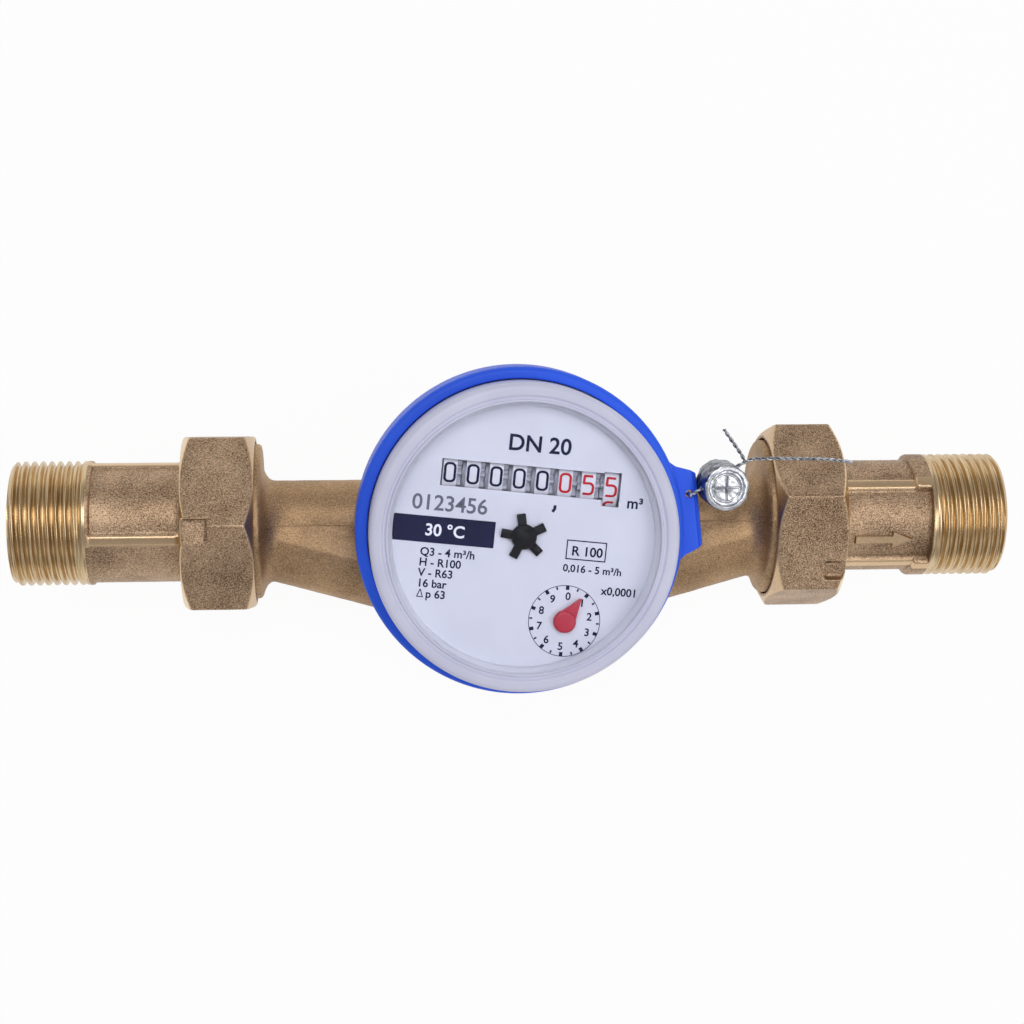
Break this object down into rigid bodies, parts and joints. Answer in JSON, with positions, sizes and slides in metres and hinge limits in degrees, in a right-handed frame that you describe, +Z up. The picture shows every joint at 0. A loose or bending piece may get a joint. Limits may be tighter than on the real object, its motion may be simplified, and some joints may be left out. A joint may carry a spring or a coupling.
{
  "type": "water meter",
  "caption": "Single-jet water meter: cast brass body with union nuts and threaded tails, blue lock ring, clear-covered round register with number wheels, star and pointer.",
  "frame": {"origin": "on the floor under the foot's centre, below the dial's centre", "axes": "+X along the pipe in the direction of flow, +Z up through the dial, +Y to the dial's top edge"},
  "size_m": [0.212, 0.068, 0.0579],
  "materials": {
    "cast_brass": "sand-cast, fine grain",
    "turned_brass": "machined, bright",
    "white_plastic": "moulded, satin",
    "clear_plastic": "clear moulded plastic",
    "blue_plastic": "moulded, semi-gloss",
    "black_plastic": "moulded",
    "red_plastic": "moulded",
    "black_rubber": "moulded seal",
    "steel": "drawn and turned",
    "ferrite": "pressed magnet",
    "lead": "soft pressed lead"
  },
  "bodies": {
    "body": {"meter_body": "cast_brass", "inlet_strainer": "white_plastic", "pivot_pin": "steel", "pressure_plate": "turned_brass", "plate_seal_ring": "black_rubber", "magnet_shield": "steel", "retaining_ring": "turned_brass", "lock_ring": "blue_plastic", "lead_seal": "lead", "seal_wire": "steel", "inlet_gasket": "black_rubber", "outlet_gasket": "black_rubber", "inlet_tail": "cast_brass", "outlet_tail": "cast_brass"},
    "impeller_set": {"impeller": "white_plastic", "impeller_magnet": "ferrite"},
    "register": {"register_cup": "white_plastic", "gear_bridge": "white_plastic", "number_shaft": "steel", "transfer_shaft": "steel", "dial_plate": "white_plastic", "dial_bezel": "white_plastic", "register_cover": "clear_plastic"},
    "drive_set": {"drive_arbor": "steel", "drive_magnet": "ferrite", "star_wheel": "black_plastic"},
    "reduction_set": {"reduction_gear": "white_plastic"},
    "idler_set": {"idler_gear": "white_plastic"},
    "pointer_set": {"pointer_gear": "white_plastic", "litre_pointer": "red_plastic"},
    "counter_set": {"counter_gear": "white_plastic"},
    "counter_idler_set": {"counter_idler": "white_plastic"},
    "counter_pinion_set": {"counter_pinion": "white_plastic"},
    "inlet_nut_set": {"inlet_nut": "cast_brass"},
    "outlet_nut_set": {"outlet_nut": "cast_brass"},
    "number_wheel_1_set": {"number_wheel_1": "white_plastic"},
    "number_wheel_2_set": {"number_wheel_2": "white_plastic"},
    "number_wheel_3_set": {"number_wheel_3": "white_plastic"},
    "number_wheel_4_set": {"number_wheel_4": "white_plastic"},
    "number_wheel_5_set": {"number_wheel_5": "white_plastic"},
    "number_wheel_6_set": {"number_wheel_6": "white_plastic"},
    "number_wheel_7_set": {"number_wheel_7": "white_plastic"},
    "number_wheel_8_set": {"number_wheel_8": "white_plastic"},
    "transfer_pinion_1_set": {"transfer_pinion_1": "white_plastic"},
    "transfer_pinion_2_set": {"transfer_pinion_2": "white_plastic"},
    "transfer_pinion_3_set": {"transfer_pinion_3": "white_plastic"},
    "transfer_pinion_4_set": {"transfer_pinion_4": "white_plastic"},
    "transfer_pinion_5_set": {"transfer_pinion_5": "white_plastic"},
    "transfer_pinion_6_set": {"transfer_pinion_6": "white_plastic"},
    "transfer_pinion_7_set": {"transfer_pinion_7": "white_plastic"}
  },
  "joints": [
    {"name": "impeller_spin", "type": "hinge", "parent": "body", "child": "impeller_set", "pos_m": [0, 0, 0.0225], "axis": [0, 0, 1], "continuous": true},
    {"name": "register_swivel", "type": "hinge", "parent": "body", "child": "register", "pos_m": [0, 0, 0.045], "axis": [0, 0, 1], "range_deg": [-177.5, 177.5]},
    {"name": "inlet_nut_turn", "type": "hinge", "parent": "body", "child": "inlet_nut_set", "pos_m": [-0.06, 0, 0.0225], "axis": [1, 0, 0], "continuous": true},
    {"name": "outlet_nut_turn", "type": "hinge", "parent": "body", "child": "outlet_nut_set", "pos_m": [0.06, 0, 0.0225], "axis": [1, 0, 0], "continuous": true},
    {"name": "drive_spin", "type": "hinge", "parent": "register", "child": "drive_set", "pos_m": [0, 0, 0.04], "axis": [0, 0, 1], "continuous": true},
    {"name": "reduction_spin", "type": "hinge", "parent": "register", "child": "reduction_set", "pos_m": [-0.00586, -0.0081, 0.04], "axis": [0, 0, 1], "continuous": true},
    {"name": "idler_spin", "type": "hinge", "parent": "register", "child": "idler_set", "pos_m": [-0.00425, -0.01471, 0.04], "axis": [0, 0, 1], "continuous": true},
    {"name": "pointer_spin", "type": "hinge", "parent": "register", "child": "pointer_set", "pos_m": [0.00825, -0.01744, 0.04], "axis": [0, 0, 1], "continuous": true},
    {"name": "counter_spin", "type": "hinge", "parent": "register", "child": "counter_set", "pos_m": [0.01309, -0.00823, 0.04], "axis": [0, 0, 1], "continuous": true},
    {"name": "counter_idler_spin", "type": "hinge", "parent": "register", "child": "counter_idler_set", "pos_m": [0.01478, 0.00203, 0.04], "axis": [0, 0, 1], "continuous": true},
    {"name": "counter_pinion_spin", "type": "hinge", "parent": "register", "child": "counter_pinion_set", "pos_m": [0.02225, 0.00926, 0.04], "axis": [0, 0, 1], "continuous": true},
    {"name": "number_wheel_1_spin", "type": "hinge", "parent": "register", "child": "number_wheel_1_set", "pos_m": [0.00118, 0.01144, 0.0441], "axis": [0.9947, -0.1028, 0], "continuous": true},
    {"name": "number_wheel_2_spin", "type": "hinge", "parent": "register", "child": "number_wheel_2_set", "pos_m": [0.00118, 0.01144, 0.0441], "axis": [0.9947, -0.1028, 0], "continuous": true},
    {"name": "number_wheel_3_spin", "type": "hinge", "parent": "register", "child": "number_wheel_3_set", "pos_m": [0.00118, 0.01144, 0.0441], "axis": [0.9947, -0.1028, 0], "continuous": true},
    {"name": "number_wheel_4_spin", "type": "hinge", "parent": "register", "child": "number_wheel_4_set", "pos_m": [0.00118, 0.01144, 0.0441], "axis": [0.9947, -0.1028, 0], "continuous": true},
    {"name": "number_wheel_5_spin", "type": "hinge", "parent": "register", "child": "number_wheel_5_set", "pos_m": [0.00118, 0.01144, 0.0441], "axis": [0.9947, -0.1028, 0], "continuous": true},
    {"name": "number_wheel_6_spin", "type": "hinge", "parent": "register", "child": "number_wheel_6_set", "pos_m": [0.00118, 0.01144, 0.0441], "axis": [0.9947, -0.1028, 0], "continuous": true},
    {"name": "number_wheel_7_spin", "type": "hinge", "parent": "register", "child": "number_wheel_7_set", "pos_m": [0.00118, 0.01144, 0.0441], "axis": [0.9947, -0.1028, 0], "continuous": true},
    {"name": "number_wheel_8_spin", "type": "hinge", "parent": "register", "child": "number_wheel_8_set", "pos_m": [0.00118, 0.01144, 0.0441], "axis": [0.9947, -0.1028, 0], "continuous": true},
    {"name": "transfer_pinion_1_spin", "type": "hinge", "parent": "register", "child": "transfer_pinion_1_set", "pos_m": [0.00201, 0.01942, 0.03848], "axis": [0.9947, -0.1028, 0], "continuous": true},
    {"name": "transfer_pinion_2_spin", "type": "hinge", "parent": "register", "child": "transfer_pinion_2_set", "pos_m": [0.00201, 0.01942, 0.03848], "axis": [0.9947, -0.1028, 0], "continuous": true},
    {"name": "transfer_pinion_3_spin", "type": "hinge", "parent": "register", "child": "transfer_pinion_3_set", "pos_m": [0.00201, 0.01942, 0.03848], "axis": [0.9947, -0.1028, 0], "continuous": true},
    {"name": "transfer_pinion_4_spin", "type": "hinge", "parent": "register", "child": "transfer_pinion_4_set", "pos_m": [0.00201, 0.01942, 0.03848], "axis": [0.9947, -0.1028, 0], "continuous": true},
    {"name": "transfer_pinion_5_spin", "type": "hinge", "parent": "register", "child": "transfer_pinion_5_set", "pos_m": [0.00201, 0.01942, 0.03848], "axis": [0.9947, -0.1028, 0], "continuous": true},
    {"name": "transfer_pinion_6_spin", "type": "hinge", "parent": "register", "child": "transfer_pinion_6_set", "pos_m": [0.00201, 0.01942, 0.03848], "axis": [0.9947, -0.1028, 0], "continuous": true},
    {"name": "transfer_pinion_7_spin", "type": "hinge", "parent": "register", "child": "transfer_pinion_7_set", "pos_m": [0.00201, 0.01942, 0.03848], "axis": [0.9947, -0.1028, 0], "continuous": true}
  ],
  "couplings": [
    {"joint": "drive_spin", "follows": "impeller_spin", "ratio": 1},
    {"joint": "reduction_spin", "follows": "impeller_spin", "ratio": -0.25},
    {"joint": "idler_spin", "follows": "impeller_spin", "ratio": 0.10417},
    {"joint": "pointer_spin", "follows": "impeller_spin", "ratio": -0.0625},
    {"joint": "counter_spin", "follows": "impeller_spin", "ratio": 0.01875},
    {"joint": "counter_idler_spin", "follows": "impeller_spin", "ratio": -0.0083333},
    {"joint": "counter_pinion_spin", "follows": "impeller_spin", "ratio": 0.01875},
    {"joint": "number_wheel_1_spin", "follows": "impeller_spin", "ratio": -0.00625},
    {"joint": "number_wheel_2_spin", "follows": "impeller_spin", "ratio": -0.000625},
    {"joint": "number_wheel_3_spin", "follows": "impeller_spin", "ratio": -0.0000625},
    {"joint": "number_wheel_4_spin", "follows": "impeller_spin", "ratio": -0.00000625},
    {"joint": "number_wheel_5_spin", "follows": "impeller_spin", "ratio": -0.000000625},
    {"joint": "number_wheel_6_spin", "follows": "impeller_spin", "ratio": -0.0000000625},
    {"joint": "number_wheel_7_spin", "follows": "impeller_spin", "ratio": -0.00000000625},
    {"joint": "number_wheel_8_spin", "follows": "impeller_spin", "ratio": -0.000000000625},
    {"joint": "transfer_pinion_1_spin", "follows": "impeller_spin", "ratio": 0.0015625},
    {"joint": "transfer_pinion_2_spin", "follows": "impeller_spin", "ratio": 0.00015625},
    {"joint": "transfer_pinion_3_spin", "follows": "impeller_spin", "ratio": 0.000015625},
    {"joint": "transfer_pinion_4_spin", "follows": "impeller_spin", "ratio": 0.0000015625},
    {"joint": "transfer_pinion_5_spin", "follows": "impeller_spin", "ratio": 0.00000015625},
    {"joint": "transfer_pinion_6_spin", "follows": "impeller_spin", "ratio": 0.000000015625},
    {"joint": "transfer_pinion_7_spin", "follows": "impeller_spin", "ratio": 0.0000000015625}
  ]
}
